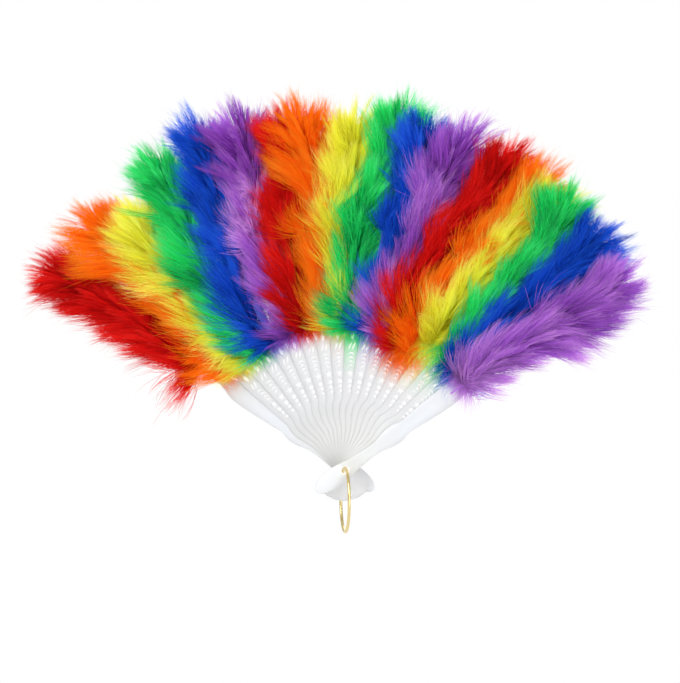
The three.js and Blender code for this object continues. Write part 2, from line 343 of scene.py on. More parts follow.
def quill_material(colour):
    material, tree, shader = new_material(f"quill_{colour}")
    body = DYES_AND_PAINTED_LIGHT[colour][1]
    pale = tuple(STREAK_DYE * part + STREAK_WHITE for part in body)
    tint = mix_colours(tree, add_noise(tree, scale=300, detail=2), (*body, 1), (*pale, 1))
    set_inputs(tree, shader, {"Base Color": tint, "Roughness": 0.35})
    return material


CLOUDY_WHITE = (0.785, 0.79, 0.79, 1)
CLEAR_WHITE = (0.83, 0.83, 0.85, 1)
# Fall of a stick's shading normal, in metres for each square metre of distance from its middle
ROUNDNESS = 26.0
# Distances from the pivot where the sticks are stacked, and where they lie apart and pass more light
STACKED_UP_TO = 15 * MM
APART_FROM = 60 * MM
# Depth of the pivot hole's wall that has a painted glow, so the hole looks lit inside
HOLE_RIM = 0.3 * MM


def rounded_normal(tree, cloud):
    """A stick's crowned and faintly rippled shading, from the Across attribute."""
    across = attribute(tree, "Across")["Fac"]
    fall = calculate(tree, "MULTIPLY", calculate(tree, "MULTIPLY", across, across), -ROUNDNESS)
    crown = add_node(tree, "ShaderNodeBump", {"Strength": 1.0, "Distance": 1.0, "Height": fall})
    ripple = {"Strength": 0.05, "Distance": 0.2 * MM, "Height": cloud, "Normal": crown.outputs["Normal"]}
    return add_node(tree, "ShaderNodeBump", ripple).outputs["Normal"]


def plastic_material():
    """White plastic, faintly clouded, letting some light through; tinted by a point attribute that holds
    the guards' cool tone, painted shade near the pivot, painted coloured light from the down near the
    plumes and the down's colour on the slats.
    """
    material, tree, shader = new_material("stick_plastic")
    cloud = add_noise(tree, scale=70, detail=3)
    grain = add_noise(tree, scale=900, detail=4)
    white = mix_colours(tree, cloud, CLOUDY_WHITE, CLEAR_WHITE)
    tint_and_light = attribute(tree, "TintAndPaintedLight")
    tinted = mix_colours(tree, tint_and_light["Alpha"], white, tint_and_light["Color"])
    flat = add_node(tree, "ShaderNodeVectorMath", {0: own_place(tree), 1: (1, 0, 1)}, operation="MULTIPLY")
    distance = length_of(tree, flat.outputs["Vector"])
    set_inputs(tree, shader, {
        "Base Color": tinted,
        "Roughness": map_range(tree, grain, low=0.26, high=0.44),
        "Normal": rounded_normal(tree, cloud),
        # Painted light: the pivot hole's wall glows, so the hole looks lit inside
        "Emission Color": map_range(tree, distance, PIVOT_HOLE, PIVOT_HOLE + HOLE_RIM, low=1.0, high=0.0),
        "Emission Strength": 0.5,
    })
    clear = map_range(tree, distance, STACKED_UP_TO, APART_FROM, low=0.10, high=0.35)
    let_light_through(tree, shader, tinted, clear)
    return material


DEEP_GOLD = (0.82, 0.65, 0.27, 1)
LIGHT_GOLD = (0.91, 0.76, 0.38, 1)


def gold_material():
    material, tree, shader = new_material("ring_gold")
    drawn = add_noise(tree, scale=400, detail=5)
    set_inputs(tree, shader, {
        "Base Color": mix_colours(tree, drawn, DEEP_GOLD, LIGHT_GOLD),
        "Roughness": map_range(tree, drawn, low=0.20, high=0.30),
        "Metallic": 1.0,
    })
    return material


# Sticks

def add_spline(curve, points, steps):
    """A closed Bezier spline from rows of (corner, handle before, handle after)."""
    spline = curve.splines.new("BEZIER")
    spline.bezier_points.add(len(points) - 1)
    spline.use_cyclic_u = True
    spline.resolution_u = steps
    for knot, (place, before, after) in zip(spline.bezier_points, points):
        knot.handle_left_type = "FREE"
        knot.handle_right_type = "FREE"
        knot.co = (*place, 0)
        knot.handle_left = (*before, 0)
        knot.handle_right = (*after, 0)


def stick_outline(tail_end, belly, widths):
    """The rounded tail, the swell round the pivot, the neck, shoulder, waist and blade."""
    neck, shoulder, waist, blade = widths
    stations = (
        (belly / 2, BELLY),
        (neck / 2, NECK),
        (shoulder / 2, SHOULDER),
        (waist / 2, WAIST),
        (blade / 2, BLADE),
        (BLADE_END_WIDTH / 2, BLADE_END),
    )
    tail_pull = TAIL_ROUNDNESS * belly
    right = []
    below = tail_end
    for x, y in stations:
        half = (y - below) / 2
        right.append([(x, y), (x, y - half), (x, y + half / 2)])
        below = y
    right[-1][2] = right[-1][0]
    left = [[(-p[0], p[1]) for p in (place, after, before)] for place, before, after in right]
    left.reverse()
    tail = [(0, tail_end), (-tail_pull, tail_end), (tail_pull, tail_end)]
    return [tail, *right, *left]


def round_hole(middle, radius):
    pull = radius * CIRCLE_PULL
    x, y = middle
    return [
        [(x + radius, y), (x + radius, y - pull), (x + radius, y + pull)],
        [(x, y + radius), (x + pull, y + radius), (x - pull, y + radius)],
        [(x - radius, y), (x - radius, y + pull), (x - radius, y - pull)],
        [(x, y - radius), (x - pull, y - radius), (x + pull, y - radius)],
    ]


def straight_hole(corners):
    return [[corner, corner, corner] for corner in corners]


def curved_hole(start, crest, end, crest_back):
    """Two quadratic arcs from start to end and back; handles reach two thirds of the way to a crest."""
    def pull(point, towards):
        return tuple(p + (t - p) * 2 / 3 for p, t in zip(point, towards))
    return [
        [start, pull(start, crest_back), pull(start, crest)],
        [end, pull(end, crest), pull(end, crest_back)],
    ]


def leaf_hole(foot, length, width, turn):
    along = (math.sin(turn) * length, math.cos(turn) * length)
    across = (math.cos(turn) * width, -math.sin(turn) * width)
    belly = (foot[0] + along[0] / 2, foot[1] + along[1] / 2)
    tip = (foot[0] + along[0], foot[1] + along[1])
    right = (belly[0] + across[0], belly[1] + across[1])
    left = (belly[0] - across[0], belly[1] - across[1])
    return curved_hole(foot, right, tip, left)


def pierce(curve):
    """The dots, star, arches, leaves and eye of an inner stick."""
    for middle, radius in DOTS:
        add_spline(curve, round_hole((0, middle), radius), steps=4)
    corners = []
    for corner in range(2 * STAR_POINTS):
        reach = STAR_REACH if corner % 2 == 0 else STAR_ROOT
        turn = corner * math.pi / STAR_POINTS
        corners.append((reach * math.sin(turn), STAR + reach * math.cos(turn)))
    add_spline(curve, straight_hole(corners), steps=1)
    for foot, width in zip(ARCH_FEET, ARCH_WIDTHS):
        crown = foot + 2 * ARCH_RISE
        hole = curved_hole((width / 2, foot), (0, crown), (-width / 2, foot), (0, crown - 2 * ARCH_BAND))
        add_spline(curve, hole, steps=7)
    for foot in LEAF_FEET:
        add_spline(curve, leaf_hole(foot, LEAF_LENGTH, LEAF_WIDTH, LEAF_SLANT), steps=6)
    add_spline(curve, leaf_hole((0, EYE_FOOT), EYE_LENGTH, EYE_WIDTH, 0), steps=8)


def blade_curve(guard, thickness):
    """The outline and holes of a stick's flat part, filled and with rounded edges."""
    rounding = GUARD_ROUNDING if guard else STICK_ROUNDING
    curve = bpy.data.curves.new("blade_outline", "CURVE")
    curve.dimensions = "2D"
    curve.fill_mode = "BOTH"
    curve.bevel_depth = rounding
    curve.bevel_resolution = 2
    curve.extrude = thickness / 2 - rounding
    curve.offset = -rounding
    if guard:
        outline = stick_outline(GUARD_TAIL_END, GUARD_BELLY_WIDTH, GUARD_WIDTHS)
    else:
        outline = stick_outline(TAIL_END, BELLY_WIDTH, STICK_WIDTHS)
    add_spline(curve, outline, steps=10)
    add_spline(curve, round_hole((0, 0), PIVOT_HOLE), steps=8)
    if not guard:
        pierce(curve)
    return curve


def cut_all(place, normal):
    """Cuts every face that a plane crosses."""
    bpy.ops.mesh.select_all(action="SELECT")
    bpy.ops.mesh.bisect(plane_co=place, plane_no=normal)


def blade_mesh(guard):
    """The flat part of a stick with rounded edges and a crowned front, its front face at Y = 0."""
    thickness = GUARD_THICKNESS if guard else STICK_THICKNESS
    blade = add_object("blade", blade_curve(guard, thickness))
    only(blade)
    bpy.ops.object.convert(target="MESH")
    bpy.ops.object.mode_set(mode="EDIT")
    bpy.ops.mesh.select_all(action="SELECT")
    bpy.ops.mesh.remove_doubles(threshold=2e-6)
    for cut in CROWN_CUTS:
        cut_all((cut, 0, 0), (1, 0, 0))
    for cut in TINT_CUTS:
        cut_all((0, cut, 0), (0, 1, 0))
    bpy.ops.mesh.select_all(action="SELECT")
    bpy.ops.mesh.normals_make_consistent(inside=False)
    bpy.ops.object.mode_set(mode="OBJECT")
    mesh = blade.data
    mesh.transform(Matrix(((1, 0, 0, 0), (0, 0, -1, thickness / 2), (0, 1, 0, 0), (0, 0, 0, 1))))
    points = mesh_points(mesh)
    fall, reach = GUARD_CROWN if guard else CROWN
    in_front = points[:, 1] < thickness / 2
    points[:, 1] += in_front * fall * np.minimum(1, (points[:, 0] / reach) ** 2)
    set_mesh_points(mesh, points)
    bpy.data.objects.remove(blade)
    return mesh


def add_slat(stick):
    """The narrow slat under the plumes, which bows with its layer."""
    bpy.ops.mesh.primitive_grid_add(x_subdivisions=2, y_subdivisions=16, size=2)
    slat = bpy.context.active_object
    points = mesh_points(slat.data)
    share = (points[:, 1] + 1) / 2
    along = BLADE_END - SLAT_OVERLAP + share * (SLAT_END - BLADE_END + SLAT_OVERLAP)
    half = (SLAT_ROOT_WIDTH + (SLAT_TIP_WIDTH - SLAT_ROOT_WIDTH) * share) / 2
    across = points[:, 0] * half
    front = layer_front(stick) + SLAT_DEPTH
    depth = front + layer_bow(stick, np.hypot(across, along))
    set_mesh_points(slat.data, np.stack([across, depth, along], axis=1))
    thick = slat.modifiers.new("thickness", "SOLIDIFY")
    thick.thickness = SLAT_THICKNESS
    thick.offset = 1
    soft = slat.modifiers.new("soft edges", "BEVEL")
    soft.width = 0.1 * MM
    soft.segments = 2
    soft.limit_method = "ANGLE"
    only(slat)
    bpy.ops.object.modifier_apply(modifier="thickness")
    bpy.ops.object.modifier_apply(modifier="soft edges")
    return slat


# Painted coloured light from the down on each stick near its plumes: the dye whose colour it takes, its
# strength at the plumes, and where it starts
PLUME_GLOWS = (
    ("orange", 0.25, 88 * MM),
    ("orange", 0.08, 80 * MM),
    ("yellow", 0.08, 80 * MM),
    ("green", 0.10, 80 * MM),
    ("blue", 0.08, 80 * MM),
    ("purple", 0.12, 80 * MM),
    ("red", 0.08, 80 * MM),
    ("orange", 0.10, 80 * MM),
    ("orange", 0.25, 72 * MM),
    ("green", 0.90, 62 * MM),
    ("blue", 0.40, 68 * MM),
    ("purple", 0.35, 68 * MM),
    ("red", 0.45, 64 * MM),
    ("orange", 0.60, 60 * MM),
    ("yellow", 0.60, 62 * MM),
    ("green", 0.55, 66 * MM),
    ("green", 0.35, 68 * MM),
    ("purple", 0.03, 96 * MM),
)
# Where the painted coloured light is full, how steeply it rises, and the share and run of the down's colour
# on the slat beyond it
FULL_GLOW = 102 * MM
GLOW_POWER = 1.5
SLAT_DOWN_TINT = 0.92
SLAT_DOWN_TINT_RUN = 12 * MM
# Painted shade on the sticks near the pivot, where they lie stacked: its colour, how far out it reaches,
# and its strength on the inner sticks and on the guards' necks and tails
PAINTED_SHADE_WHITE = (0.60, 0.60, 0.53)
PAINTED_SHADE_REACH = 48 * MM
PAINTED_SHADE_AT_PIVOT = 0.45
GUARD_PAINTED_SHADE_AT_PIVOT = 0.6
GUARD_PAINTED_SHADE_AT_TAIL = 0.45
# The cooler tone of the guards
COOL_WHITE = (0.90, 0.94, 1.0)
GUARD_COOLNESS = 0.34
COOLNESS_RUN = 24 * MM


def tint_and_light_at(stick, distance, along):
    """Tint of a stick: cool on the guards, painted shade near the pivot, painted coloured light from the
    down near the plumes, and the down's colour on the slat.
    """
    dye, strength, start = PLUME_GLOWS[stick - 1]
    tint_and_light = np.empty((len(distance), 4), np.float32)
    if is_guard(stick):
        near = distance < start
        # Painted shade on a guard near the pivot, weaker on its tail, blended into its cool tone
        inner = np.clip(1 - distance / PAINTED_SHADE_REACH, 0, 1) * np.where(along > 0, 1, GUARD_PAINTED_SHADE_AT_TAIL)
        near_colour = COOL_WHITE + inner[:, None] * np.subtract(PAINTED_SHADE_WHITE, COOL_WHITE)
        cool = GUARD_COOLNESS * np.clip((start - distance) / COOLNESS_RUN, 0, 1)
        shaded = cool + inner * (GUARD_PAINTED_SHADE_AT_PIVOT - cool)
    else:
        # Painted shade on an inner stick's neck near the pivot
        near = (distance < PAINTED_SHADE_REACH) & (along > 0)
        near_colour = PAINTED_SHADE_WHITE
        shaded = PAINTED_SHADE_AT_PIVOT * np.clip(1 - distance / PAINTED_SHADE_REACH, 0, 1)
    tint_and_light[:, :3] = np.where(near[:, None], near_colour, DYES_AND_PAINTED_LIGHT[dye][1])
    # Painted coloured light from the down near the plumes, then the down's colour on the slat
    down_tint = strength * np.clip((distance - start) / (FULL_GLOW - start), 0, 1) ** GLOW_POWER
    down_tint = np.maximum(down_tint, SLAT_DOWN_TINT * np.clip((distance - FULL_GLOW) / SLAT_DOWN_TINT_RUN, 0, 1))
    tint_and_light[:, 3] = np.where(near, shaded, down_tint)
    return tint_and_light


def make_stick(stick, blade, plastic):
    obj = add_object(f"moulded_{stick_node(stick)}", blade.copy())
    points = mesh_points(obj.data)
    points[:, 1] += layer_front(stick)
    set_mesh_points(obj.data, points)
    join_into(obj, add_slat(stick))

    points = mesh_points(obj.data)
    distance = np.hypot(points[:, 0], points[:, 2])
    # Point attribute with the stick's tint, its painted shade and its painted coloured light
    row = obj.data.attributes.new("TintAndPaintedLight", "FLOAT_COLOR", "POINT")
    row.data.foreach_set("color", tint_and_light_at(stick, distance, points[:, 2]).ravel())
    row = obj.data.attributes.new("Across", "FLOAT", "POINT")
    row.data.foreach_set("value", np.ascontiguousarray(points[:, 0], np.float32))
    set_mesh_points(obj.data, turned(stick, points))
    obj.data.materials.clear()
    obj.data.materials.append(plastic)
    only(obj)
    bpy.ops.object.shade_smooth_by_angle(angle=math.radians(35))
    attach(obj, stick_body(stick))
    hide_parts(stick_node(stick))


def make_ring(gold):
    bpy.ops.curve.primitive_bezier_circle_add(radius=RING_RADIUS)
    ring = bpy.context.active_object
    ring.name = "gold_ring"
    ring.data.bevel_depth = RING_WIRE
    ring.data.bevel_resolution = 6
    ring.data.resolution_u = 32
    bpy.ops.object.convert(target="MESH")
    upright = Matrix.Rotation(RING_YAW, 4, "Z") @ Matrix.Rotation(math.pi / 2, 4, "Y")
    ring.data.transform(Matrix.Translation((0, 0, RING_MIDDLE)) @ upright)
    ring.data.materials.append(gold)
    bpy.ops.object.shade_smooth()
    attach(ring, "ring")
    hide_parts("hanging_ring")


# Plumes

PLUME_SEEDS = 1000
TUFT_COUNT = 400
TUFT_BARBS = 17
BARB_POINTS = 5
BARB_STEPS = np.linspace(0, 1, BARB_POINTS)
BARB_WIDTH = 0.28 * MM
LEFT = -1.0
RIGHT = 1.0

# The two forms of plume, with the degrees between barb and shaft where the barb leaves it and at the
# barb's end, at these shares of the shaft's length
BARB_STATIONS = (0, 0.08, 0.25, 0.8, 1)
FORMS = {
    "lower": {
        "root": 95 * MM,
        "length": 100 * MM,
        "barb": 48 * MM,
        "hanging": 44,
        "lift": 0.0,
        "leave": (120, 78, 44, 40, 41),
        "sweep": (78, 36, 9, 11, 25),
    },
    "upper": {
        "root": 166 * MM,
        "length": 74 * MM,
        "barb": 50 * MM,
        "hanging": 0,
        "lift": 1.5 * MM,
        "leave": (66, 56, 44, 40, 41),
        "sweep": (36, 22, 9, 11, 25),
    },
}
LENGTH_RANGE = (0.95, 1.05)
CURL = (-3 * MM, 4 * MM)
# Distance of each upper plume's tip from the pivot, in millimetres, and the down beyond the shaft's end
TIP_REACHES = (272, 270, 250, 271, 276, 272, 262, 268, 260, 268, 260, 262, 264, 260, 255, 259, 257, 249)
TIP_FLUFF = 36 * MM
# Millimetres of bare quill below each lower plume's down; where negative, the quill starts that much lower
BARE_QUILLS = (28, 8, 5, 5, 6, 5, 5, 4, 4, 3, 3, 2, -3, -4, 9, 10, 4, 5)
# Degrees that each stick's plumes lie right of it, at four distances from the pivot
DRIFT_DISTANCES = (124 * MM, 168 * MM, 200 * MM, 240 * MM)
PLUME_DRIFTS = (
    (-1.5, -0.8, -1.0, -2.2),
    (-0.8, 4.6, 3.0, 1.8),
    (-1.5, -0.5, 0.1, 2.1),
    (-1.0, 0.0, 2.3, 2.8),
    (-4.0, 2.6, 3.1, 5.4),
    (2.4, 2.8, 4.7, 4.8),
    (1.0, 2.5, 5.4, 6.4),
    (3.6, 7.0, 4.1, 1.8),
    (3.6, 2.7, 4.4, 5.7),
    (-1.2, 0.5, 4.9, 5.6),
    (2.5, 5.8, 4.9, 2.8),
    (0.0, 4.1, 2.7, 5.0),
    (-2.6, 2.7, 4.2, 5.6),
    (-1.5, 5.0, 5.0, 6.0),
    (-1.0, 0.6, 1.1, 3.6),
    (2.0, 2.2, 1.4, -2.4),
    (-0.5, 0.2, 0.3, 0.2),
    (-0.6, 2.8, 2.3, -0.8),
)
# Length of quill that its stick holds straight, and the height of the shaft's middle over the stick
QUILL_HOLD = 22 * MM
QUILL_HEIGHT = 0.6 * MM
HEADING_STEP = 0.04
# The shaft that shows: its ends as shares of the plume's length, and how thin it gets
QUILL_START = -0.06
QUILL_END = 0.98
BARE_QUILL_COVER = 0.02
QUILL_POINTS = 14
QUILL_TAPER = 0.8

# Room for barbs that rise from the plume's plane, in front where it is open, in front where the next
# plume covers it, and behind
OPEN_ROOM = 13 * MM
COVERED_ROOM = 5 * MM
BACK_ROOM = 10 * MM
# Distance from the pivot at which a plume has that room, and the least and greatest share of it
FULL_ROOM = 190 * MM
ROOM_RANGE = (0.5, 1.1)
# Places beside the shaft where the next plume's cover starts and is full
COVER_START = -6 * MM
COVER_FULL = 10 * MM
PLUME_TILT = math.radians(22)
# Depths past which barbs are pressed back into the fan, and the depth that takes up the rest
FRONT_LIMIT = -30 * MM
BACK_LIMIT = 27 * MM
PRESS = 8 * MM

# Values along a shaft or a barb: the shares of its length, and the value at each
STRAY_DEGREES = ((0, 0.1, 0.75, 1), (20, 11, 11, 14))
TUFT_LENGTH = ((0, 0.1, 0.3, 0.85, 1), (0.45, 0.85, 1.0, 1.0, 0.74))
ROOT_DRAW = ((0, 0.06, 0.2), (0.3, 0.6, 1.0))
GATHERED = ((0.25, 0.6), (0, 0.7))
BARB_TAPER = ((0, 0.3, 1), (1.0, 0.9, 0.3))
# Slow waves along a shaft: turns on its length, their variation, and the shift between its sides
WAVE_TURNS = (0.9, 2.1, 3.7)
WAVE_RANGE = (0.8, 1.25)
SIDE_SHIFT = (0.2, 0.4)

# Shares of tufts that lie flat, and that lie flat or rise in front, and the degrees that tufts rise
FLAT_SHARE = 0.62
FLAT_OR_FRONT = 0.90
FLAT_RISE = (math.radians(4), math.radians(10))
FRONT_RISE = (25, 75)
BACK_RISE = (-75, -20)
# A rising tuft's angles and length, against those of a flat one
RISEN_LEAVE = 0.8
RISEN_SWEEP = 0.7
RISEN_LENGTH = 0.66
# Tufts of the tip: how they crowd there, where it begins, how far they fan out, and their length
TIP_CROWD = 1.1
TIP_START = 0.95
TIP_FAN = 1.35
TIP_LENGTH = 1.2
FAN_SHORTENS = 0.3
# How tufts stray from their angles: in slow waves, each by itself, and a few of them wildly
WAVE_STRAY = 0.8
OWN_STRAY = 0.6
WILD_SHARE = 0.05
WILD_STRAY = 2.2
SWEEP_STRAY = 0.9
HOOK = math.radians(9)
TWIST = math.radians(16)
# Slow wave of the tufts' length, its variation, and its share on a free side
PUFF = 0.13
LENGTH_STRAY = (0.82, 1.08)
FREE_LENGTH = 0.86
# How far the barbs of a tuft draw together, at most, and how late along the barb
TUFT_DRAW = (0.3, 0.85)
FULL_DRAW = 0.97
DRAW_POWER = 1.4
# Tone of a tuft, its slow wave and its stray, and the slow wave of its paleness
MIDDLE_TONE = 0.5
TONE_WAVE = 0.34
TONE_STRAY = 0.3
PALE_WAVE = 0.8

# The fringe at a lower plume's root: its share of the shaft, its degrees, its length and its barbs
FRINGE_RUN = 0.05
FRINGE_LEAVE = (110, 170)
FRINGE_SWEEP = (140, 195)
OUTER_FRINGE_SWEEP = (105, 150)
FRINGE_RISE = (-5, 12)
FRINGE_LENGTH = (5 * MM, 13 * MM)
FRINGE_SPREAD = 4.5 * MM
FRINGE_STRAY = 3.0
FRINGE_SHORTEST = 0.3
FRINGE_LONGER = 0.35
# A spray of short curled tufts: every second tuft, its degrees, its length and how it draws together
SPRAY_STEP = 2
SPRAY_LEAVE = (40, 110)
SPRAY_SWEEP = (0, 80)
SPRAY_RISE = (0, 45)
SPRAY_HOOK = (-55, 55)
SPRAY_LENGTH = (16 * MM, 31 * MM)
SPRAY_DRAW = (0.5, 0.88)

# Barbs of one tuft: how they differ in place, angles and length, and the loose ones among them
TUFT_SPREAD = 1.6 * MM
LEAVE_SPREAD = math.radians(6)
SWEEP_SPREAD = math.radians(7)
RISE_SPREAD = math.radians(10)
SHORTEST = 0.7
LONGEST = 1.05
LOOSE_SHARE = 0.2
LOOSE_SWEEP = 2.0
LOOSE_DRAW = 0.1
SWEEP_POWER = 0.7
# How far barbs hang and wave, as shares of their length, and the turns of a wave along one
SAG = 0.12
WAVE = 0.025
BARB_WAVES = (0.6, 1.6)
# Spread of the barbs' roots beside the shaft, and the share of the shaft on which it ends
ROOT_SPREAD = 2.5 * MM
ROOT_RUN = 0.2

# Outer side of the outermost plumes, where the barbs are shorter
FREE_SIDES = {1: LEFT, STICK_COUNT: RIGHT}
# Sticks whose lower plume has a wider root, and its spread
WIDE_ROOTS = {1: 5 * MM, 18: 7 * MM}
# Sticks whose root fringe hangs longer, and how much
FRINGES = {1: 3.2, 10: 1.4, 11: 1.2, 12: 1.4, 13: 1.7, 14: 2.0, 15: 2.0, 16: 1.8, 17: 1.4, 18: 1.2}
# Sticks whose root fringe hangs in wisps: its turn towards the shaft, how far each tuft draws together,
# and the width of its barbs
WISPS = {1: (math.radians(62), 0.88, 1.0)}
NO_WISPS = (0.0, 0.1, 0.5)
# Plumes that spread wider than the others, and how much
BROAD = {
    (1, "upper"): 1.1,
    (2, "lower"): 1.1,
    (2, "upper"): 1.15,
    (5, "upper"): 1.2,
    (6, "upper"): 1.35,
    (8, "upper"): 1.45,
    (9, "upper"): 1.2,
    (12, "upper"): 1.3,
}
# Plumes with a spray, and its first tuft, counted from the root, and the tuft after its last
SPRAYS = {
    (2, "lower"): (0, 90),
    (3, "lower"): (0, 110),
    (4, "lower"): (0, 80),
    (5, "lower"): (0, 60),
    (6, "lower"): (0, 60),
    (14, "lower"): (0, 80),
    (15, "lower"): (0, 130),
    (16, "lower"): (0, 90),
    (6, "upper"): (40, 210),
}
# Sprays that curl to the left only, over the root of the plume beside them
LEFT_SPRAYS = {(stick, "lower") for stick in range(2, 7)}
# Sprays that took little dye
PALE_SPRAYS = {(6, "upper"): 1.8}
# Plumes with undyed down at the root, and the share of the shaft that it covers
PALE_ROOTS = {(6, "upper"): 1.2, (12, "upper"): 0.3, (18, "lower"): 0.3}
PALE_ROOT_SHARE = 0.45
# Sticks whose plumes took the dye less well than the others, lower and upper
PALENESS = {3: (0.1, 0.1), 6: (0.1, 0.02), 12: (0.1, 0.05), 18: (0.3, 0.15)}


def plume_shape(rng, stick, level):
    """How one plume is rooted, spread, fringed and dyed."""
    form = FORMS[level]
    plume = (stick, level)
    shape = {
        "stick": stick,
        "form": form,
        "root": form["root"],
        "length": form["length"] * rng.uniform(*LENGTH_RANGE),
        "bare": 0.0,
        "quill": QUILL_START,
        "curl": rng.uniform(*CURL),
        "breadth": BROAD.get(plume, 1.0),
        "free_side": FREE_SIDES.get(stick, 0),
        "root_width": WIDE_ROOTS.get(stick, ROOT_SPREAD),
        "fringe": FRINGES.get(stick, 1.0),
        "wisps": WISPS.get(stick, NO_WISPS),
        "spray": SPRAYS.get(plume, (0, 0)),
        "left_spray": plume in LEFT_SPRAYS,
        "pale_spray": PALE_SPRAYS.get(plume, 0.0),
        "pale_root": PALE_ROOTS.get(plume, 0.0),
        "paleness": PALENESS.get(stick, (0.0, 0.0))[LEVELS.index(level)],
    }
    if level == "upper":
        shape["length"] = TIP_REACHES[stick - 1] * MM - TIP_FLUFF - form["root"]
    else:
        bare = BARE_QUILLS[stick - 1] * MM
        shape["root"] += min(bare, 0)
        shape["bare"] = max(bare, 0) / shape["length"]
        if stick < STICK_COUNT:
            shape["quill"] = shape["bare"] + BARE_QUILL_COVER
    return shape


def shaft_line(shape, share):
    """Points on a plume's shaft at shares of its length, on an upright stick."""
    stick = shape["stick"]
    along = shape["root"] + shape["length"] * share
    drift = np.radians(np.interp(along, DRIFT_DISTANCES, PLUME_DRIFTS[stick - 1]))
    free = np.clip((along - shape["root"]) / QUILL_HOLD, 0, 1)
    across = along * np.tan(drift) * free * free * (3 - 2 * free)
    lift = shape["form"]["lift"]
    depth = layer_front(stick) - QUILL_HEIGHT - lift - shape["curl"] * share * np.abs(share)
    return np.stack([across, depth, along], axis=-1)


def shaft_heading(shape, share):
    """Turn of the shaft away from its stick at shares of its length."""
    ahead = shaft_line(shape, share + HEADING_STEP) - shaft_line(shape, share - HEADING_STEP)
    return np.arctan2(ahead[..., 0], ahead[..., 2])


def settled(depth):
    """Depths pressed softly back between the front and the back of the fan."""
    front = FRONT_LIMIT - PRESS * (1 - np.exp(-np.maximum(FRONT_LIMIT - depth, 0) / PRESS))
    back = BACK_LIMIT + PRESS * (1 - np.exp(-np.maximum(depth - BACK_LIMIT, 0) / PRESS))
    return np.where(depth < FRONT_LIMIT, front, np.where(depth > BACK_LIMIT, back, depth))


def slow_wave(rng, tufts):
    """A slow random wave along a shaft, different on its two sides, from about -1 to 1."""
    wave = np.zeros_like(tufts["share"])
    for waves in WAVE_TURNS:
        turns = waves * rng.uniform(*WAVE_RANGE) * tufts["share"] + rng.random()
        turns = turns + rng.uniform(*SIDE_SHIFT) * tufts["side"]
        wave += np.sin(2 * math.pi * turns)
    return wave / 2


def draw_degrees(rng, limits):
    """An angle for each tuft, between two limits in degrees."""
    return rng.uniform(math.radians(limits[0]), math.radians(limits[1]), TUFT_COUNT)


def stand_tufts(rng, shape):
    """Where each tuft stands on the shaft, its side, and whether it hangs as fringe or curls in a spray."""
    index = np.arange(TUFT_COUNT)
    share = np.minimum(1, TIP_CROWD * (index + rng.random(TUFT_COUNT)) / TUFT_COUNT)
    hang = index >= TUFT_COUNT - shape["form"]["hanging"]
    share = np.where(hang, rng.uniform(0, FRINGE_RUN, TUFT_COUNT), share)
    first, end = shape["spray"]
    spray = (index >= first) & (index < end) & (index % SPRAY_STEP == 0)
    side = np.where(rng.random(TUFT_COUNT) < 0.5, LEFT, RIGHT)
    return {
        "share": shape["bare"] + (1 - shape["bare"]) * share,
        "hang": hang,
        "spray": spray,
        "side": np.where(spray & shape["left_spray"], LEFT, side),
    }


def lean_tufts(rng, shape, tufts):
    """How each tuft rises from the plume's plane, its angles to the shaft, and its length."""
    form = shape["form"]
    share = tufts["share"]
    kind = rng.random(TUFT_COUNT)
    flat = kind < FLAT_SHARE
    front = (kind >= FLAT_SHARE) & (kind < FLAT_OR_FRONT)
    flat_rise = rng.normal(*FLAT_RISE, TUFT_COUNT)
    front_rise = draw_degrees(rng, FRONT_RISE)
    back_rise = draw_degrees(rng, BACK_RISE)
    tufts["rise"] = np.where(flat, flat_rise, np.where(front, front_rise, back_rise))

    at_tip = share > TIP_START
    fan = np.where(at_tip, rng.uniform(0, TIP_FAN, TUFT_COUNT), 1.0)
    leave = shape["breadth"] * fan * np.radians(np.interp(share, BARB_STATIONS, form["leave"]))
    sweep = shape["breadth"] * fan * np.radians(np.interp(share, BARB_STATIONS, form["sweep"]))
    wild = np.where(rng.random(TUFT_COUNT) < WILD_SHARE, WILD_STRAY, 1.0)
    stray = WAVE_STRAY * slow_wave(rng, tufts) + OWN_STRAY * wild * rng.normal(0, 1, TUFT_COUNT)
    stray = np.radians(np.interp(share, *STRAY_DEGREES)) * stray
    tufts["leave"] = np.where(flat, leave, RISEN_LEAVE * leave) + stray
    tufts["sweep"] = np.where(flat, sweep, RISEN_SWEEP * sweep) + SWEEP_STRAY * stray
    tufts["hook"] = HOOK * (slow_wave(rng, tufts) + rng.normal(0, 1, TUFT_COUNT))
    tufts["twist"] = rng.normal(0, TWIST, TUFT_COUNT)

    length = form["barb"] * np.interp(share, *TUFT_LENGTH)
    puff = 1 + PUFF * slow_wave(rng, tufts)
    length = length * puff * rng.uniform(*LENGTH_STRAY, TUFT_COUNT) * np.where(flat, 1.0, RISEN_LENGTH)
    length = length * np.where(at_tip, TIP_LENGTH - FAN_SHORTENS * fan, 1.0)
    tufts["length"] = length * np.where(tufts["side"] == shape["free_side"], FREE_LENGTH, 1.0)


